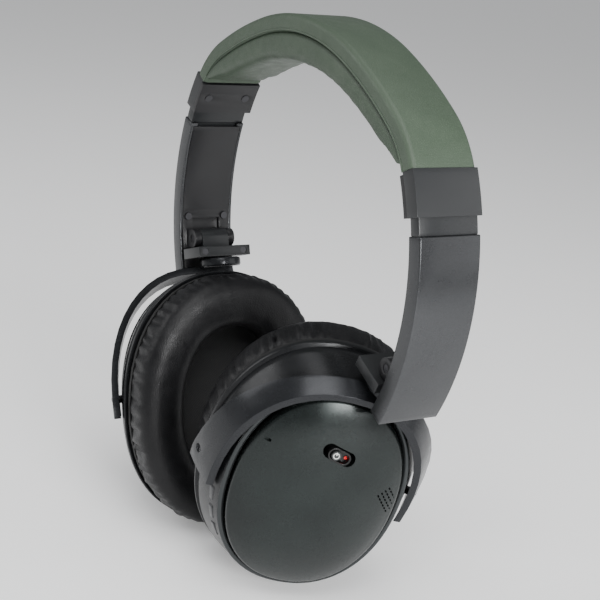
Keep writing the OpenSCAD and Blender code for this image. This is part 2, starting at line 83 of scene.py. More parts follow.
def outline_arcs():
    """Radius and centre (x, z) of the band's top, flank and shoulder arcs, right of the middle."""
    sn, cs = (lambda a: math.sin(rad(a))), (lambda a: math.cos(rad(a)))
    join_x = ARM_R * sn(CAP_TOP_A) - ARM_CX
    join_z = ARM_CZ - ARM_R * cs(CAP_TOP_A)
    run_x = join_x - FLANK_R * (sn(FLANK_A) - sn(TOP_A))
    run_z = join_z - FLANK_R * (cs(TOP_A) - cs(FLANK_A))
    det = sn(TOP_A) * (cs(FLANK_A) - cs(CAP_TOP_A)) - (sn(CAP_TOP_A) - sn(FLANK_A)) * (1 - cs(TOP_A))
    top_r = (run_x * (cs(FLANK_A) - cs(CAP_TOP_A)) - run_z * (sn(CAP_TOP_A) - sn(FLANK_A))) / det
    shoulder_r = (sn(TOP_A) * run_z - (1 - cs(TOP_A)) * run_x) / det
    return {
        "top": (top_r, 0.0, APEX - top_r),
        "flank": (FLANK_R, (top_r - FLANK_R) * sn(TOP_A), APEX - top_r + (top_r - FLANK_R) * cs(TOP_A)),
        "shoulder": (shoulder_r, join_x - shoulder_r * sn(CAP_TOP_A),
                     APEX - join_z - shoulder_r * cs(CAP_TOP_A)),
    }


ARCS = outline_arcs()


def band_point(heading, depth):
    """A point (x, z) of the band at a heading, at a depth below its outside."""
    a = abs(heading)
    r, cx, cz = ARCS["top" if a <= TOP_A else "flank" if a <= FLANK_A else "shoulder"]
    side = 1 if heading >= 0 else -1
    return side * (cx + (r - depth) * math.sin(rad(a))), cz + (r - depth) * math.cos(rad(a))


def cup_matrix(side, part="cup"):
    """Local axes of a hinge, yoke or cup: X to the back, Y up the swivel axis, Z outwards."""
    place = Matrix.Translation((HUB_X, 0, HUB_Z + APEX))
    place @= Matrix.Rotation(rad(HANG_A), 4, "Y")
    place @= Matrix.Rotation(rad(90), 4, "Z") @ Matrix.Rotation(rad(90), 4, "X")
    if part != "hinge":
        place @= Matrix.Rotation(rad(SWIVEL[side]), 4, "Y")
    if part in ("cup", "flange"):
        place @= Matrix.Translation((SET_BACK, -DROP, 0)) @ Matrix.Rotation(rad(-TILT[side]), 4, "X")
    if part == "flange":
        place @= Matrix.Translation((0, 0, -PIVOT_H))
    mirror = Matrix.Diagonal((SIDES[side], 1, 1, 1))
    return Matrix.Scale(MM, 4) @ mirror @ place


def housing_step(h):
    return HOUSING_IN * (max(h, 0) / HOUSING_H) ** 1.35


# ---- mesh work ----

def deselect():
    bpy.ops.object.select_all(action="DESELECT")


def pick(piece):
    deselect()
    piece.select_set(True)
    bpy.context.view_layer.objects.active = piece
    return piece


def editing(piece, select="SELECT"):
    pick(piece)
    bpy.ops.object.mode_set(mode="EDIT")
    bpy.ops.mesh.select_all(action=select)


def done():
    bpy.ops.object.mode_set(mode="OBJECT")


def modify(piece, kind, **settings):
    pick(piece)
    modifier = piece.modifiers.new(kind.lower(), kind)
    for name, value in settings.items():
        setattr(modifier, name, value)
    bpy.ops.object.modifier_apply(modifier=modifier.name)
    return piece


def smooth(piece, angle=40):
    pick(piece)
    bpy.ops.object.shade_smooth_by_angle(angle=rad(angle))
    return piece


def outward(piece):
    editing(piece)
    bpy.ops.mesh.remove_doubles(threshold=1e-6)
    bpy.ops.mesh.normals_make_consistent(inside=False)
    done()
    return piece


def squared(a, b, t, power=SQUARE):
    """A point of a slightly squared oval with half sizes a and b."""
    c, s = math.cos(t), math.sin(t)
    return math.copysign(abs(c) ** (2 / power), c) * a, math.copysign(abs(s) ** (2 / power), s) * b


def oval_ring(name, a, b, z, count=128, power=SQUARE):
    """A ring of edges in the shape of a cup's oval, in local millimetres."""
    deselect()
    bpy.ops.mesh.primitive_circle_add(vertices=count, radius=1)
    ring = bpy.context.object
    ring.name = name
    for vertex in ring.data.vertices:
        x, y = squared(a, b, math.atan2(vertex.co.y, vertex.co.x), power)
        vertex.co = (x, y, z)
    return ring


def stack(name, levels, count=128, closed=False, dome=False, power=SQUARE):
    """Ovals on ovals: each level is (half width, half height, height)."""
    a, b, z = levels[0]
    piece = oval_ring(name, a, b, z, count, power)
    editing(piece)
    for next_a, next_b, next_z in levels[1:]:
        bpy.ops.mesh.extrude_region_move(TRANSFORM_OT_translate={"value": (0, 0, next_z - z)})
        bpy.ops.transform.resize(value=(next_a / a, next_b / b, 1), center_override=(0, 0, next_z))
        a, b, z = next_a, next_b, next_z
    if dome:
        bpy.ops.mesh.merge(type="CENTER")
    done()
    if closed:
        editing(piece, "DESELECT")
        done()
        rings = len(levels)
        for i in list(range(count)) + list(range((rings - 1) * count, rings * count)):
            piece.data.vertices[i].select = True
        editing_keep(piece)
        bpy.ops.mesh.bridge_edge_loops()
        done()
    return piece


def editing_keep(piece):
    pick(piece)
    bpy.ops.object.mode_set(mode="EDIT")


def close_rims(piece):
    """Fills every open rim."""
    editing(piece, "DESELECT")
    bpy.ops.mesh.select_mode(type="EDGE")
    bpy.ops.mesh.select_non_manifold(extend=False, use_wire=True, use_boundary=True,
                                     use_multi_face=False, use_non_contiguous=False, use_verts=False)
    bpy.ops.mesh.edge_face_add()
    bpy.ops.mesh.select_mode(type="VERT")
    done()
    return piece


def settle(piece, place=None):
    """Puts a piece modelled in local millimetres in its place."""
    if place is not None:
        piece.data.transform(place)
        if place.determinant() < 0:
            piece.data.flip_normals()
    piece.data.update()
    return piece


def cut(piece, tool, operation="DIFFERENCE"):
    modify(piece, "BOOLEAN", object=tool, operation=operation, solver="EXACT")
    bpy.data.objects.remove(tool)
    return piece


def block(name, size, centre=(0, 0, 0), place=None, edge=0.0, segments=3):
    """A rounded block, in local millimetres."""
    deselect()
    bpy.ops.mesh.primitive_cube_add(size=1)
    piece = bpy.context.object
    piece.name = name
    piece.data.transform(Matrix.Translation(centre) @ Matrix.Diagonal((*size, 1)))
    if edge:
        modify(piece, "BEVEL", width=edge, segments=segments, limit_method="NONE")
    if place is not None:
        settle(piece, place)
    return piece


def disc(name, radius, depth, centre=(0, 0, 0), place=None, edge=0.0, count=48, axis=None):
    """A round pin or disc with its axis along local Z, its edges rounded."""
    deselect()
    bpy.ops.mesh.primitive_cylinder_add(vertices=count, radius=radius, depth=depth)
    piece = bpy.context.object
    piece.name = name
    turn = axis if axis is not None else Matrix.Identity(4)
    piece.data.transform(Matrix.Translation(centre) @ turn)
    if edge:
        modify(piece, "BEVEL", width=edge, segments=3, limit_method="ANGLE", angle_limit=rad(50))
    if place is not None:
        settle(piece, place)
    return piece


def stadium(name, run, radius, depth, centre=(0, 0, 0), place=None, edge=0.0):
    """A slot shape: two half circles a run apart, local X along the run."""
    deselect()
    bpy.ops.mesh.primitive_cylinder_add(vertices=64, radius=radius, depth=depth)
    piece = bpy.context.object
    piece.name = name
    for vertex in piece.data.vertices:
        if abs(vertex.co.x) > 1e-6:
            vertex.co.x += math.copysign(run / 2, vertex.co.x)
    piece.data.transform(Matrix.Translation(centre))
    if edge:
        modify(piece, "BEVEL", width=edge, segments=3, limit_method="ANGLE", angle_limit=rad(50))
    if place is not None:
        settle(piece, place)
    return piece


def refined(node, name, edge=0.3, segments=2, angle=28, shade=32, trim=None):
    """A finished copy of a hard part of the frame, with its edges rounded."""
    source = NODES[node]
    mesh = source.data.copy()
    piece = bpy.data.objects.new(name, mesh)
    bpy.context.scene.collection.objects.link(piece)
    mesh.materials.clear()
    for attribute in [a for a in mesh.attributes if a.name in ("custom_normal", "sharp_edge", "sharp_face")]:
        mesh.attributes.remove(attribute)
    editing(piece)
    bpy.ops.mesh.remove_doubles(threshold=2e-6)
    bpy.ops.mesh.dissolve_limited(angle_limit=rad(0.4), delimit=set())
    bpy.ops.mesh.normals_make_consistent(inside=False)
    if trim is not None:
        bpy.ops.mesh.select_all(action="SELECT")
        bpy.ops.mesh.bisect(plane_co=trim[0], plane_no=trim[1], use_fill=True, clear_inner=True)
    done()
    modify(piece, "BEVEL", width=edge * MM, segments=segments, limit_method="ANGLE",
           angle_limit=rad(angle), use_clamp_overlap=True, harden_normals=False)
    modify(piece, "TRIANGULATE", min_vertices=5)
    smooth(piece, shade)
    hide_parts(node)
    return piece


# ---- material work ----

class Socket:
    """A shader value that can be used in ordinary sums."""

    def __init__(self, maker, socket):
        self.maker, self.socket = maker, socket

    def math(self, operation, *others):
        return self.maker.math(operation, self, *others)

    def __add__(self, other): return self.math("ADD", other)
    def __radd__(self, other): return self.maker.math("ADD", other, self)
    def __sub__(self, other): return self.math("SUBTRACT", other)
    def __rsub__(self, other): return self.maker.math("SUBTRACT", other, self)
    def __mul__(self, other): return self.math("MULTIPLY", other)
    def __rmul__(self, other): return self.maker.math("MULTIPLY", other, self)
    def __truediv__(self, other): return self.math("DIVIDE", other)
    def __rtruediv__(self, other): return self.maker.math("DIVIDE", other, self)
    def __pow__(self, other): return self.math("POWER", other)
    def __neg__(self): return self.math("MULTIPLY", -1.0)


class Finish:
    """A node material with a Principled shader."""

    def __init__(self, name, **constants):
        self.material = bpy.data.materials.new(name)
        self.material.use_nodes = True
        self.tree = self.material.node_tree
        self.shader = self.tree.nodes["Principled BSDF"]
        self.set(**constants)

    def set(self, **values):
        for key, value in values.items():
            self.put(self.shader.inputs[key.replace("_", " ")], value)

    def put(self, target, value):
        if isinstance(value, Socket):
            self.tree.links.new(value.socket, target)
        elif hasattr(target.default_value, "__len__") and not hasattr(value, "__len__"):
            target.default_value = [value] * len(target.default_value)
        elif hasattr(value, "__len__") and len(value) < len(target.default_value):
            target.default_value = (*value, 1.0)
        else:
            target.default_value = value

    def node(self, kind, settings=None, out=0, **inputs):
        made = self.tree.nodes.new(kind)
        for key, value in (settings or {}).items():
            setattr(made, key, value)
        for key, value in inputs.items():
            by_number = key[0] == "i" and key[1:].isdigit()
            self.put(made.inputs[int(key[1:]) if by_number else key.replace("_", " ")], value)
        return Socket(self, made.outputs[out])

    def math(self, operation, *values):
        made = self.tree.nodes.new("ShaderNodeMath")
        made.operation = operation
        for target, value in zip(made.inputs, values):
            self.put(target, value)
        return Socket(self, made.outputs[0])

    def where(self):
        return self.node("ShaderNodeTexCoord", out="Object")

    def noise(self, scale, detail=4, roughness=0.5, vector=None, stretch=None):
        vector = vector or self.where()
        if stretch:
            vector = self.node("ShaderNodeMapping", Vector=vector, Scale=stretch)
        return self.node("ShaderNodeTexNoise", Vector=vector, Scale=scale, Detail=detail, Roughness=roughness)

    def cells(self, scale, feature="F1", vector=None, randomness=1.0):
        return self.node("ShaderNodeTexVoronoi", {"feature": feature}, out="Distance",
                         Vector=vector or self.where(), Scale=scale, Randomness=randomness)

    def between(self, value, low, high, a=0.0, b=1.0):
        return self.node("ShaderNodeMapRange", Value=value, From_Min=low, From_Max=high, To_Min=a, To_Max=b)

    def mix(self, factor, first, second):
        return self.node("ShaderNodeMix", {"data_type": "RGBA"}, out=2, i0=factor, i6=first, i7=second)

    def bump(self, height, strength=0.3, distance=0.0002, normal=None):
        inputs = {"Height": height, "Strength": strength, "Distance": distance}
        if normal:
            inputs["Normal"] = normal
        return self.node("ShaderNodeBump", **inputs)


def leather(name, dark, light, grain=1500, gloss=0.45, depth=0.35, creases=0.25, shine=0.45):
    """Grained leather: pebbles, fine pores, slow colour drift and soft creases."""
    f = Finish(name, Specular_IOR_Level=shine)
    warp = f.noise(260, 3)
    place = f.node("ShaderNodeVectorMath", {"operation": "ADD"}, i0=f.where(),
                   i1=f.node("ShaderNodeVectorMath", {"operation": "SCALE"}, i0=f.node(
                       "ShaderNodeTexNoise", out="Color", Vector=f.where(), Scale=400.0), Scale=0.0006))
    pebbles = f.cells(grain, "DISTANCE_TO_EDGE", place)
    pores = f.noise(grain * 3.1, 3, 0.6)
    drift = f.noise(38, 3)
    folds = f.noise(90, 4, 0.6)
    shade = f.between(drift, 0.3, 0.7) * 0.6 + f.between(pebbles, 0.0, 0.35) * 0.4
    f.set(Base_Color=f.mix(shade, dark, light))
    f.set(Roughness=f.between(warp, 0.3, 0.7, gloss - 0.05, gloss + 0.1)
          + f.between(pebbles, 0.0, 0.2, 0.08, 0.0))
    relief = f.between(pebbles, 0.0, 0.3) + pores * 0.25
    soft = f.bump(folds, creases, 0.0008)
    f.set(Normal=f.bump(relief, depth, 0.00012, soft))
    return f.material


def satin(name, colour, rough=0.38, metallic=0.0, speck=0.15, coat=0.0, lift=1.25, shine=0.32):
    """Moulded or lacquered satin: fine texture, slight wear and handling marks."""
    f = Finish(name, Specular_IOR_Level=shine, Metallic=metallic, Coat_Weight=coat, Coat_Roughness=0.18)
    fine = f.noise(5200, 2, 0.5)
    broad = f.noise(26, 4, 0.55)
    smear = f.noise(120, 5, 0.7, stretch=(1, 0.35, 1))
    light = tuple(min(1.0, c * lift) for c in colour)
    f.set(Base_Color=f.mix(f.between(broad, 0.3, 0.7) * 0.6 + fine * 0.4, colour, light))
    f.set(Roughness=f.between(smear, 0.35, 0.75, rough - 0.05, rough + 0.07) + (fine - 0.5) * 0.08)
    f.set(Normal=f.bump(fine, speck, 0.00004))
    return f.material


def metallic_lacquer(name, colour, flake, rough=0.3):
    """Graphite lacquer with fine bright flakes under a thin clear coat."""
    f = Finish(name, Metallic=0.7, Specular_IOR_Level=0.4, Coat_Weight=0.18, Coat_Roughness=0.22)
    flakes = f.cells(5200)
    broad = f.noise(22, 3)
    sparkle = f.between(flakes, 0.0, 0.55, 1.0, 0.0)
    f.set(Base_Color=f.mix(sparkle * 0.55 + f.between(broad, 0.35, 0.65) * 0.25, colour, flake))
    f.set(Roughness=rough + f.between(f.noise(90, 4, 0.65), 0.35, 0.7, -0.03, 0.06) + sparkle * 0.06)
    f.set(Normal=f.bump(f.noise(3800, 2), 0.1, 0.00004))
    return f.material


def turned_steel(name, colour=(0.5, 0.5, 0.52), rough=0.3):
    f = Finish(name, Metallic=1.0)
    rings = f.noise(900, 3, 0.6, stretch=(0.15, 1, 1))
    f.set(Base_Color=f.mix(f.noise(60, 3), colour, tuple(c * 0.75 for c in colour)))
    f.set(Roughness=f.between(rings, 0.3, 0.7, rough - 0.06, rough + 0.1))
    f.set(Normal=f.bump(rings, 0.15, 0.00005))
    return f.material


def woven(name, dark, light, pitch=0.00055):
    """A plain weave of threads that cross over and under."""
    f = Finish(name, Sheen_Weight=0.3, Specular_IOR_Level=0.25)
    place = f.where()
    parts = f.tree.nodes.new("ShaderNodeSeparateXYZ")
    f.put(parts.inputs[0], place)
    along, up = Socket(f, parts.outputs[1]), Socket(f, parts.outputs[2])
    warp = f.math("SINE", along * (2 * math.pi / pitch))
    weft = f.math("SINE", up * (2 * math.pi / pitch))
    over = f.math("SINE", (along + up) * (math.pi / pitch))
    threads = f.math("ABSOLUTE", warp) * f.between(over, -0.2, 0.2) + \
        f.math("ABSOLUTE", weft) * f.between(over, -0.2, 0.2, 1.0, 0.0)
    f.set(Base_Color=f.mix(threads * 0.7 + f.noise(700, 3) * 0.3, dark, light), Roughness=0.9)
    f.set(Normal=f.bump(threads, 0.6, 0.0002))
    return f.material


def lacquered_board(name):
    f = Finish(name, Specular_IOR_Level=0.5)
    tracks = f.cells(420, "DISTANCE_TO_EDGE", randomness=0.2)
    f.set(Base_Color=f.mix(f.between(tracks, 0.02, 0.06), (0.05, 0.24, 0.1), (0.012, 0.09, 0.035)))
    f.set(Roughness=f.between(f.noise(200), 0.3, 0.7, 0.25, 0.4), Normal=f.bump(tracks, 0.2, 0.00005))
    return f.material


MATERIALS = {
    "sleeve": leather("green sleeve leather",
                      (0.034, 0.053, 0.033), (0.056, 0.080, 0.053), 1700, 0.44, 0.3, 0.12),
    "pad": leather("green pad leather", (0.029, 0.046, 0.028), (0.050, 0.072, 0.047), 1500, 0.46, 0.35, 0.3),
    "foam": satin("open foam", (0.45, 0.43, 0.36), 0.85, speck=0.8),
    "spring_steel": turned_steel("spring steel"),
    "core": satin("moulded core", (0.02, 0.02, 0.02), 0.6),
    "cable": satin("cable rubber", (0.015, 0.015, 0.015), 0.7),
    "end_cap": satin("end cap satin grey", (0.017, 0.018, 0.019), 0.34, speck=0.2),
    "cap_plate": satin("inner plate black", (0.014, 0.014, 0.015), 0.42),
    "screws": turned_steel("blackened screws", (0.07, 0.07, 0.075), 0.35),
    "slider": satin("slider black", (0.013, 0.014, 0.015), 0.3),
    "arm": metallic_lacquer("arm lacquer", (0.026, 0.027, 0.029), (0.085, 0.088, 0.092), 0.28),
    "arm_frame": satin("arm lining black", (0.011, 0.011, 0.012), 0.34),
    "pins": turned_steel("pins", (0.07, 0.07, 0.075), 0.3),
    "hinge_block": satin("hinge black", (0.018, 0.019, 0.020), 0.33, metallic=0.2),
    "yoke": satin("yoke satin grey", (0.017, 0.018, 0.020), 0.28, metallic=0.5, speck=0.1),
    "housing": satin("housing grey", (0.010, 0.0105, 0.0115), 0.3, metallic=0.35),
    "cap": metallic_lacquer("cap graphite", (0.006, 0.0075, 0.0075), (0.038, 0.050, 0.047), 0.26),
    "lip_ring": satin("bright rim", (0.03, 0.033, 0.034), 0.2, metallic=0.55, speck=0.05),
    "baffle": satin("baffle black", (0.012, 0.012, 0.012), 0.7),
    "driver": satin("driver basket", (0.04, 0.04, 0.042), 0.5),
    "cushion_frame": satin("carrier black", (0.012, 0.012, 0.012), 0.55),
    "ear_cushion": leather("black cushion leather", (0.0025, 0.0025, 0.003),
                           (0.007, 0.007, 0.008), 1300, 0.36, 0.3, 0.35, shine=0.25),
    "scrim": woven("black scrim cloth", (0.003, 0.003, 0.003), (0.02, 0.02, 0.021)),
    "battery": satin("battery wrap", (0.35, 0.36, 0.38), 0.35, metallic=0.8),
    "circuit_board": lacquered_board("board lacquer"),
    "microphones": turned_steel("microphone can"),
    "switch_slot": satin("slot black", (0.004, 0.004, 0.004), 0.2),
    "power_switch": satin("knob grey", (0.035, 0.037, 0.037), 0.3, metallic=0.3),
    "power_mark": satin("printed mark", (0.62, 0.62, 0.6), 0.5),
    "status_light": satin("red mark", (0.55, 0.02, 0.02), 0.3),
    "button_plate": satin("button plate", (0.01, 0.01, 0.01), 0.6),
    "buttons": satin("button grey", (0.035, 0.036, 0.038), 0.3),
    "port_metal": turned_steel("port metal"),
}


def finish(piece, look, body):
    """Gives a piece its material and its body."""
    piece.data.materials.clear()
    piece.data.materials.append(MATERIALS[look])
    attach(piece, body)
    return piece


# ---- camera and light ----

def aim_camera():
    """The photograph's view, from behind and outside the right cup."""
    right = Vector((-0.51124, -0.85004, 0.12675)).normalized()
    look = Vector((0.79029, -0.52292, -0.31936)).normalized()
    up = right.cross(look).normalized()
    deselect()
    bpy.ops.object.camera_add()
    camera = bpy.context.object
    camera.name = "camera"
    camera.data.lens = 80.93
    camera.data.sensor_width = 36
    camera.data.clip_start = 0.01
    turn = Matrix((right, up, -look)).transposed().to_4x4()
    camera.matrix_world = Matrix.Translation((-0.38463, 0.25356, 0.07115)) @ turn
    bpy.context.scene.camera = camera
    return camera


def soft_light(name, place, target, size, power, colour=(1, 1, 1)):
    deselect()
    bpy.ops.object.light_add(type="AREA", location=place)
    light = bpy.context.object
    light.name = name
    light.data.shape = "RECTANGLE"
    light.data.size, light.data.size_y = size
    light.data.energy = power
    light.data.color = colour
    light.rotation_euler = (Vector(target) - Vector(place)).to_track_quat("-Z", "Y").to_euler()
    light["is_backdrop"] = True
    return light


def light_the_stage():
    world = bpy.data.worlds.new("studio")
    bpy.context.scene.world = world
    world.use_nodes = True
    world.node_tree.nodes["Background"].inputs["Color"].default_value = (0.95, 0.97, 1.0, 1.0)
    world.node_tree.nodes["Background"].inputs["Strength"].default_value = 0.30
    middle = (0, 0, -0.06)
    soft_light("key", (-0.45, 0.30, 0.62), middle, (0.55, 0.40), 4.5)
    soft_light("side", (-0.72, 0.06, 0.10), (-0.1, 0.03, -0.12), (0.30, 0.20), 6.0)
    soft_light("rim", (0.42, 0.60, 0.30), middle, (0.40, 0.50), 2.5)
    soft_light("front fill", (-0.50, -0.55, 0.15), middle, (0.60, 0.50), 1.6)
    soft_light("top", (0.0, 0.0, 0.75), middle, (0.7, 0.5), 2.5)
    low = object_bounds()[0].z
    deselect()
    bpy.ops.mesh.primitive_plane_add(size=60, location=(0, 0, low - 0.0005))
    floor = bpy.context.object
    floor.name = "floor"
    paper = Finish("pale paper", Base_Color=(0.9, 0.9, 0.9), Specular_IOR_Level=0.2, Emission_Color=(1, 1, 1),
                   Emission_Strength=0.22)
    paper.set(Roughness=paper.between(paper.noise(40), 0.3, 0.7, 0.75, 0.85))
    floor.data.materials.append(paper.material)
    floor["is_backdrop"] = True


# ---- headband ----

def band_profile(width, thick, rounding, steps=6, crown=0.0):
    """A rounded rectangle: (y, depth) pairs, depth below the outside."""
    points = []
    corners = (((width / 2 - rounding), rounding, 0), ((width / 2 - rounding), thick - rounding, 90),
               (-(width / 2 - rounding), thick - rounding, 180), (-(width / 2 - rounding), rounding, 270))
    for y, depth, start in corners:
        for i in range(steps + 1):
            a = rad(start + 90 * i / steps)
            points.append((y + rounding * math.sin(a), depth - rounding * math.cos(a)))
    return [(y, depth + crown * (1 - (1 - (2 * y / width) ** 2)) * (1 if depth < thick / 2 else 0))
            for y, depth in points]


def band(name, profile, first, last, turns=90):
    """Spins a profile along the band's arcs from one heading to another, in millimetres."""
    x0, z0 = band_point(first, 0)
    deselect()
    bpy.ops.mesh.primitive_circle_add(vertices=len(profile), radius=1)
    piece = bpy.context.object
    piece.name = name
    s, c = math.sin(rad(first)), math.cos(rad(first))
    for vertex, (y, depth) in zip(piece.data.vertices, profile):
        vertex.co = (x0 - depth * s, y, z0 - depth * c)
    stops = sorted({first, last} | {h for h in (-FLANK_A, -TOP_A, TOP_A, FLANK_A) if first < h < last})
    editing(piece)
    for here, there in zip(stops, stops[1:]):
        middle = abs(here + there) / 2
        _, cx, cz = ARCS["top" if middle < TOP_A else "flank" if middle < FLANK_A else "shoulder"]
        centre = (cx if here + there >= 0 else -cx, 0, cz)
        steps = max(4, round(turns * (there - here) / (last - first)))
        bpy.ops.mesh.spin(steps=steps, angle=rad(here - there), center=centre, axis=(0, 1, 0))
    done()
    close_rims(piece)
    return outward(piece)


def make_sleeve():
    """The leather sleeve, with a thin rope along each lower edge."""
    end = CAP_TOP_A - 0.15
    sleeve = band("leather_sleeve", band_profile(BAND_W, SLEEVE_T, 1.9, 7, 0.35), -end, end, 110)
    for face in (-1, 1):
        turn = [rad(a) for a in range(0, 360, 36)]
        edge_y, edge_depth = face * (BAND_W / 2 - 0.3), SLEEVE_T - 0.95
        section = [(edge_y + ROPE_R * math.sin(a), edge_depth + ROPE_R * math.cos(a)) for a in turn]
        rope = band("rope_%d" % face, section, -end, end, 110)
        sleeve = cut(sleeve, rope, "UNION")
    smooth(sleeve, 50)
    settle(sleeve, Matrix.Scale(MM, 4))
    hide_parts("headband_cover")
    finish(sleeve, "sleeve", "headband")
    return sleeve


def pad_edge(heading):
    """Depth of the pad's underside at a heading."""
    c = max(math.cos(rad(heading * 90 / PAD_A)), 0)
    return PAD_END_T + (PAD_T - PAD_END_T) * c ** 0.8


def make_pad():
    """The padded crescent under the band: full in the middle, thin at the ends, softly creased."""
    steps, around = 84, 40  # cross-sections along the pad, and points round each
    verts = []
    half = BAND_W / 2 - 0.12
    for i in range(steps + 1):
        heading = -PAD_A + 2 * PAD_A * i / steps
        depth = pad_edge(heading)
        taper = min(1.0, (PAD_A - abs(heading)) / 2.2)
        deep = max(0.5, depth * math.sqrt(max(taper * (2 - taper), 0.05)))
        for j in range(around):
            a = 2 * math.pi * j / around
            y, d = squared(half, deep / 2 + 0.55, a, 3.8)
            d += SLEEVE_T - 0.8 + deep / 2
            if d > SLEEVE_T + 1:
                crease = noise.noise(Vector((heading * 0.55, y * 0.16, 3.0))) * 0.2
                fold = 0.07 * math.sin(heading * 1.9 + 2.2 * noise.noise(Vector((heading * 0.2, y * 0.2, 0))))
                d -= (0.2 + crease + fold) * min(1.0, abs(d - SLEEVE_T) / 5)
            x, z = band_point(heading, d)
            verts.append((x, y, z))
    faces = []
    for i in range(steps):
        for j in range(around):
            k = (j + 1) % around
            faces.append((i * around + j, i * around + k, (i + 1) * around + k, (i + 1) * around + j))
    faces.append(tuple(range(around)))
    faces.append(tuple(steps * around + j for j in reversed(range(around))))
    mesh = bpy.data.meshes.new("padded_crescent")
    mesh.from_pydata(verts, [], faces)
    pad = bpy.data.objects.new("padded_crescent", mesh)
    bpy.context.scene.collection.objects.link(pad)
    outward(pad)
    smooth(pad, 60)
    settle(pad, Matrix.Scale(MM, 4))
    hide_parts("headband_pad")
    finish(pad, "pad", "headband")
    return pad


# ---- yoke, cup and cushion ----

def make_cap(side):
    """The outer cap: a soft dome with a lip, its slots cut through."""
    place = cup_matrix(side, "flange")
    a, b = CUP_A - HOUSING_IN - 2.4, CUP_B - HOUSING_IN - 2.4
    levels = [(a - 1.2, b - 1.2, HOUSING_H + 0.6), (a - 0.1, b - 0.1, HOUSING_H + 0.7)]
    levels.append((a, b, HOUSING_H + 1.2))
    levels += [(a, b, RIM_H - 1.4), (a - 0.15, b - 0.15, RIM_H - 0.8), (a - 0.55, b - 0.55, RIM_H - 0.25),
               (a - 1.1, b - 1.1, RIM_H + 0.05)]
    for i in range(1, 24):
        t = i / 24
        height = RIM_H + CAP_RISE * (1 - (1 - t) ** 2) ** 0.9
        levels.append(((a - 1.1) * (1 - t), (b - 1.1) * (1 - t), height))
    cap = stack("outer_cap_" + side, levels, 160, dome=True)
    close_rims(cap)
    outward(cap)
    top = RIM_H + CAP_RISE
    tools = [stadium("mic slot", 1.2, 0.55, 30, (MIC_SLOT[0], MIC_SLOT[1], top))]
    for column in range(4):
        for row in range(6):
            u, v = (row - 2.5) * 1.75, (column - 1.5) * 1.45
            spot = Matrix.Translation((GRILLE[0], GRILLE[1], top)) @ Matrix.Rotation(rad(52), 4, "Z")
            slit = stadium("slit", 0.7, 0.27, 30, (u, v, 0))
            slit.data.transform(spot)
            tools.append(slit)
    if side == "right":
        slot = stadium("power slot", 2 * SWITCH_RUN, SWITCH_R + 0.25, 30)
        spot = Matrix.Translation((SWITCH[0], SWITCH[1], top))
        slot.data.transform(spot @ Matrix.Rotation(rad(SWITCH_TURN), 4, "Z"))
        tools.append(slot)
    deselect()
    for tool in tools[1:]:
        tool.select_set(True)
    bpy.context.view_layer.objects.active = tools[0]
    tools[0].select_set(True)
    bpy.ops.object.join()
    cutter = tools[0]
    floor_h = RIM_H - 1.0
    for vertex in cutter.data.vertices:
        if vertex.co.z < top:
            vertex.co.z = floor_h + 1.2
    cut(cap, cutter)
    smooth(cap, 32)
    settle(cap, place)
    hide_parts("cup_cap_" + side)
    finish(cap, "cap", "cup_" + side)
    return cap


def make_housing(side):
    """The bowl of the cup: a flange at the cushion, a raised ridge and a swept wall."""
    place = cup_matrix(side, "flange")
    levels = []
    for a_in, h in ((2.2, 0.35), (0.35, 0.0), (0.0, 0.35), (-0.0, 1.5), (0.25, 2.0), (0.9, 2.35), (1.3, 2.5)):
        levels.append((CUP_A - a_in, CUP_B - a_in, h))
    for i in range(1, 22):
        h = 2.6 + (HOUSING_H - 2.6) * i / 21
        inset = max(housing_step(h), 1.35)
        levels.append((CUP_A - inset, CUP_B - inset, h))
    top_in = HOUSING_IN + 0.5
    inside = ((top_in, HOUSING_H + 0.35), (top_in + 1.0, HOUSING_H + 0.4), (top_in + 1.3, HOUSING_H - 0.3),
              (top_in + 1.5, 8.0), (14, 2.6), (14, 0.4))
    levels += [(CUP_A - inset, CUP_B - inset, h) for inset, h in inside]
    bowl = stack("bowl_" + side, levels, 160, closed=True)
    outward(bowl)
    smooth(bowl, 34)
    settle(bowl, place)
    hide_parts("cup_housing_" + side)
    finish(bowl, "housing", "cup_" + side)
    lip = CUP_A - HOUSING_IN + 0.2, CUP_B - HOUSING_IN + 0.2
    levels = [(lip[0] - 2.4, lip[1] - 2.4, HOUSING_H + 0.1), (lip[0] - 0.35, lip[1] - 0.35, HOUSING_H + 0.1),
              (lip[0], lip[1], HOUSING_H + 0.45), (lip[0], lip[1], HOUSING_H + 1.1),
              (lip[0] - 0.3, lip[1] - 0.3, HOUSING_H + 1.45), (lip[0] - 1.0, lip[1] - 1.0, HOUSING_H + 1.6),
              (lip[0] - 1.5, lip[1] - 1.5, HOUSING_H + 1.5), (lip[0] - 2.0, lip[1] - 2.0, HOUSING_H + 0.9)]
    ring = stack("bright_rim_" + side, levels, 160, closed=True)
    outward(ring)
    smooth(ring, 40)
    settle(ring, place)
    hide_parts("lip_ring_" + side)
    finish(ring, "lip_ring", "cup_" + side)
    return bowl


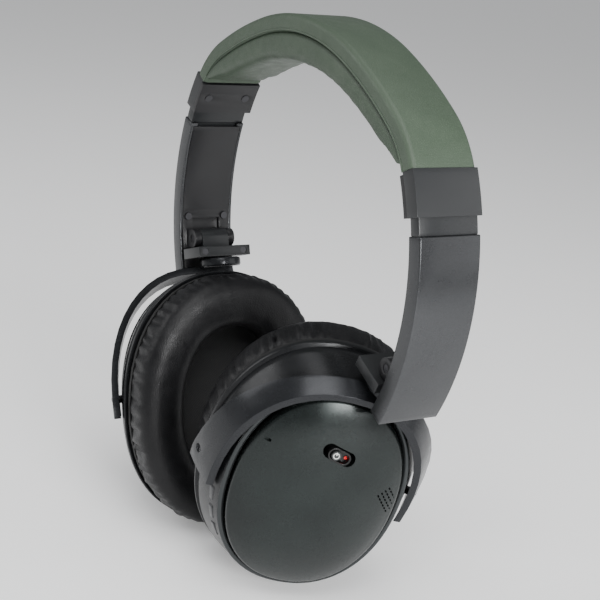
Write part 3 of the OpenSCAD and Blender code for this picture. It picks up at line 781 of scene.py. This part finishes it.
def make_cushion(side):
    """The ear cushion: a soft ring, rounded on the face, tucked at the flange, pleated round the side."""
    place = cup_matrix(side, "flange")
    count, around = 240, 44
    seed = 7.0 if side == "left" else 2.0
    verts = []
    for i in range(count):
        t = 2 * math.pi * i / count
        ox, oy = squared(CUP_A, CUP_B, t)
        ix, iy = squared(EAR_A, EAR_B, t)
        for j in range(around):
            a = 2 * math.pi * j / around
            u, v = squared(0.5, 0.5, a, 2.7)
            reach = 0.5 + u
            height = -(0.5 + v) * CUSHION_T
            outer = max(0.0, reach - 0.55) / 0.45
            deep = min(1.0, -height / CUSHION_T)
            pleat = noise.noise(Vector((math.cos(t) * 9, math.sin(t) * 9, seed + deep * 0.7)))
            wave = math.sin(t * 68 + 4.5 * pleat)
            crease = noise.noise(Vector((math.cos(t) * 15, math.sin(t) * 15, seed + deep * 1.1)))
            crease = -abs(crease) ** 0.55
            side_wall = outer * math.sin(math.pi * min(1, deep * 1.15)) ** 1.2
            inset = 0.055 * side_wall * (wave * 0.6 + 0.4) - 0.05 * side_wall * (crease + 0.45)
            soft = noise.noise(Vector((math.cos(t) * 3, math.sin(t) * 3, seed + 4 + reach * 1.5)))
            reach_now = reach * (1 - inset)
            x = ix + (ox - ix) * reach_now
            y = iy + (oy - iy) * reach_now
            ripple = noise.noise(Vector((t * 9, reach * 5, seed)))
            height += (0.35 * soft) * (deep ** 2) + 0.25 * ripple * deep * outer
            height = max(height, -CUSHION_T + 0.05)
            verts.append((x, y, height - 0.05))
    faces = []
    for i in range(count):
        k = (i + 1) % count
        for j in range(around):
            m = (j + 1) % around
            faces.append((i * around + j, k * around + j, k * around + m, i * around + m))
    mesh = bpy.data.meshes.new("cushion_" + side)
    mesh.from_pydata(verts, [], faces)
    cushion = bpy.data.objects.new("cushion_" + side, mesh)
    bpy.context.scene.collection.objects.link(cushion)
    outward(cushion)
    smooth(cushion, 80)
    settle(cushion, place)
    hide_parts("ear_cushion_" + side)
    finish(cushion, "ear_cushion", "cup_" + side)
    return cushion


aim_camera()
REFINED = {
    "end_cap_left": ("end_cap", "headband", 0.9, 4), "end_cap_right": ("end_cap", "headband", 0.9, 4),
    "cap_plate_left": ("cap_plate", "headband", 0.4, 3), "cap_plate_right": ("cap_plate", "headband", 0.4, 3),
}
for side in SIDES:
    REFINED["slider_" + side] = ("slider", "arm_" + side, 0.3, 2)
    REFINED["arm_cover_" + side] = ("arm", "arm_" + side, 0.8, 4)
    REFINED["arm_frame_" + side] = ("arm_frame", "arm_" + side, 0.3, 2)
    REFINED["hinge_block_" + side] = ("hinge_block", "hinge_" + side, 0.4, 3)
REFINED["volume_up"] = ("buttons", "up_button", 0.5, 4)
REFINED["action_button"] = ("buttons", "action_key", 0.5, 4)
REFINED["volume_down"] = ("buttons", "down_button", 0.5, 4)
REFINED["switch_slot"] = ("switch_slot", "cup_right", 0.15, 2)
REFINED["button_plate"] = ("button_plate", "cup_right", 0.2, 2)
for node, (look, body, edge, segments) in REFINED.items():
    finish(refined(node, node + "_finish", edge, segments), look, body)

def make_yoke(side):
    """The arch that holds a cup: narrow over the top, wide at the ears, with a boss under the hinge."""
    place = cup_matrix(side, "yoke")
    foot, lean = Vector((0, -DROP, -3.6)), Vector((0, -0.15, 1))
    plane = (place @ foot, (place.to_3x3() @ lean).normalized())
    arch = refined("yoke_" + side, "yoke_arch_" + side, 0.75, 4, trim=plane)
    finish(arch, "yoke", "yoke_" + side)
    turn = Matrix.Rotation(rad(90), 4, "X")
    boss = disc("yoke_boss_" + side, 7.9, 3.4, (0, -9.1, 0), place, 0.8, 64, turn)
    smooth(boss, 40)
    finish(boss, "yoke", "yoke_" + side)
    return arch


def make_power_mark():
    """A ring and a bar printed on the power knob."""
    knob = NODES["power_switch"]
    place = cup_matrix("right", "flange")
    back = place.inverted() @ knob.matrix_world
    spots = [back @ v.co for v in knob.data.vertices]
    top = max(p.z for p in spots)
    crown = [p for p in spots if p.z > top - 0.8]
    middle = sum(crown, Vector()) / len(crown)
    deselect()
    bpy.ops.mesh.primitive_torus_add(major_radius=0.95, minor_radius=0.13,
                                     major_segments=40, minor_segments=8, location=(0, 0, 0))
    ring = bpy.context.object
    ring.name = "power_mark"
    for vertex in ring.data.vertices:
        vertex.co.z *= 0.5
    bar = block("bar", (0.26, 1.05, 0.14), (0, 0.75, 0))
    deselect()
    bar.select_set(True)
    ring.select_set(True)
    bpy.context.view_layer.objects.active = ring
    bpy.ops.object.join()
    lean = Matrix.Rotation(rad(-SWITCH_LEAN), 4, "X")
    ring.data.transform(Matrix.Translation((middle.x, middle.y, top - 0.18)) @ lean)
    settle(ring, place)
    smooth(ring, 40)
    finish(ring, "power_mark", "power_slide")
    return ring


make_sleeve()
make_pad()
make_power_mark()
for side in SIDES:
    make_yoke(side)
    make_cap(side)
    make_housing(side)
    make_cushion(side)

# ---- materials on the parts of the frame that stay as they are ----

NODE_LOOKS = {
    "headband_foam": "foam", "headband_spring": "spring_steel", "headband_core": "core",
    "headband_cable": "cable",
    "cap_screws": "screws", "battery": "battery", "audio_board": "circuit_board",
    "main_board": "circuit_board",
    "audio_socket": "port_metal", "charging_port": "port_metal", "status_light": "status_light",
    "power_switch": "power_switch",
}
for side in SIDES:
    NODE_LOOKS.update({
        "arm_screws_" + side: "screws", "fold_pin_" + side: "pins", "hinge_screws_" + side: "screws",
        "yoke_pins_" + side: "pins", "baffle_" + side: "baffle", "driver_" + side: "driver",
        "cushion_frame_" + side: "cushion_frame", "scrim_" + side: "scrim",
        "microphones_" + side: "microphones",
    })
for node, look in NODE_LOOKS.items():
    NODES[node].data.materials.clear()
    NODES[node].data.materials.append(MATERIALS[look])

light_the_stage()
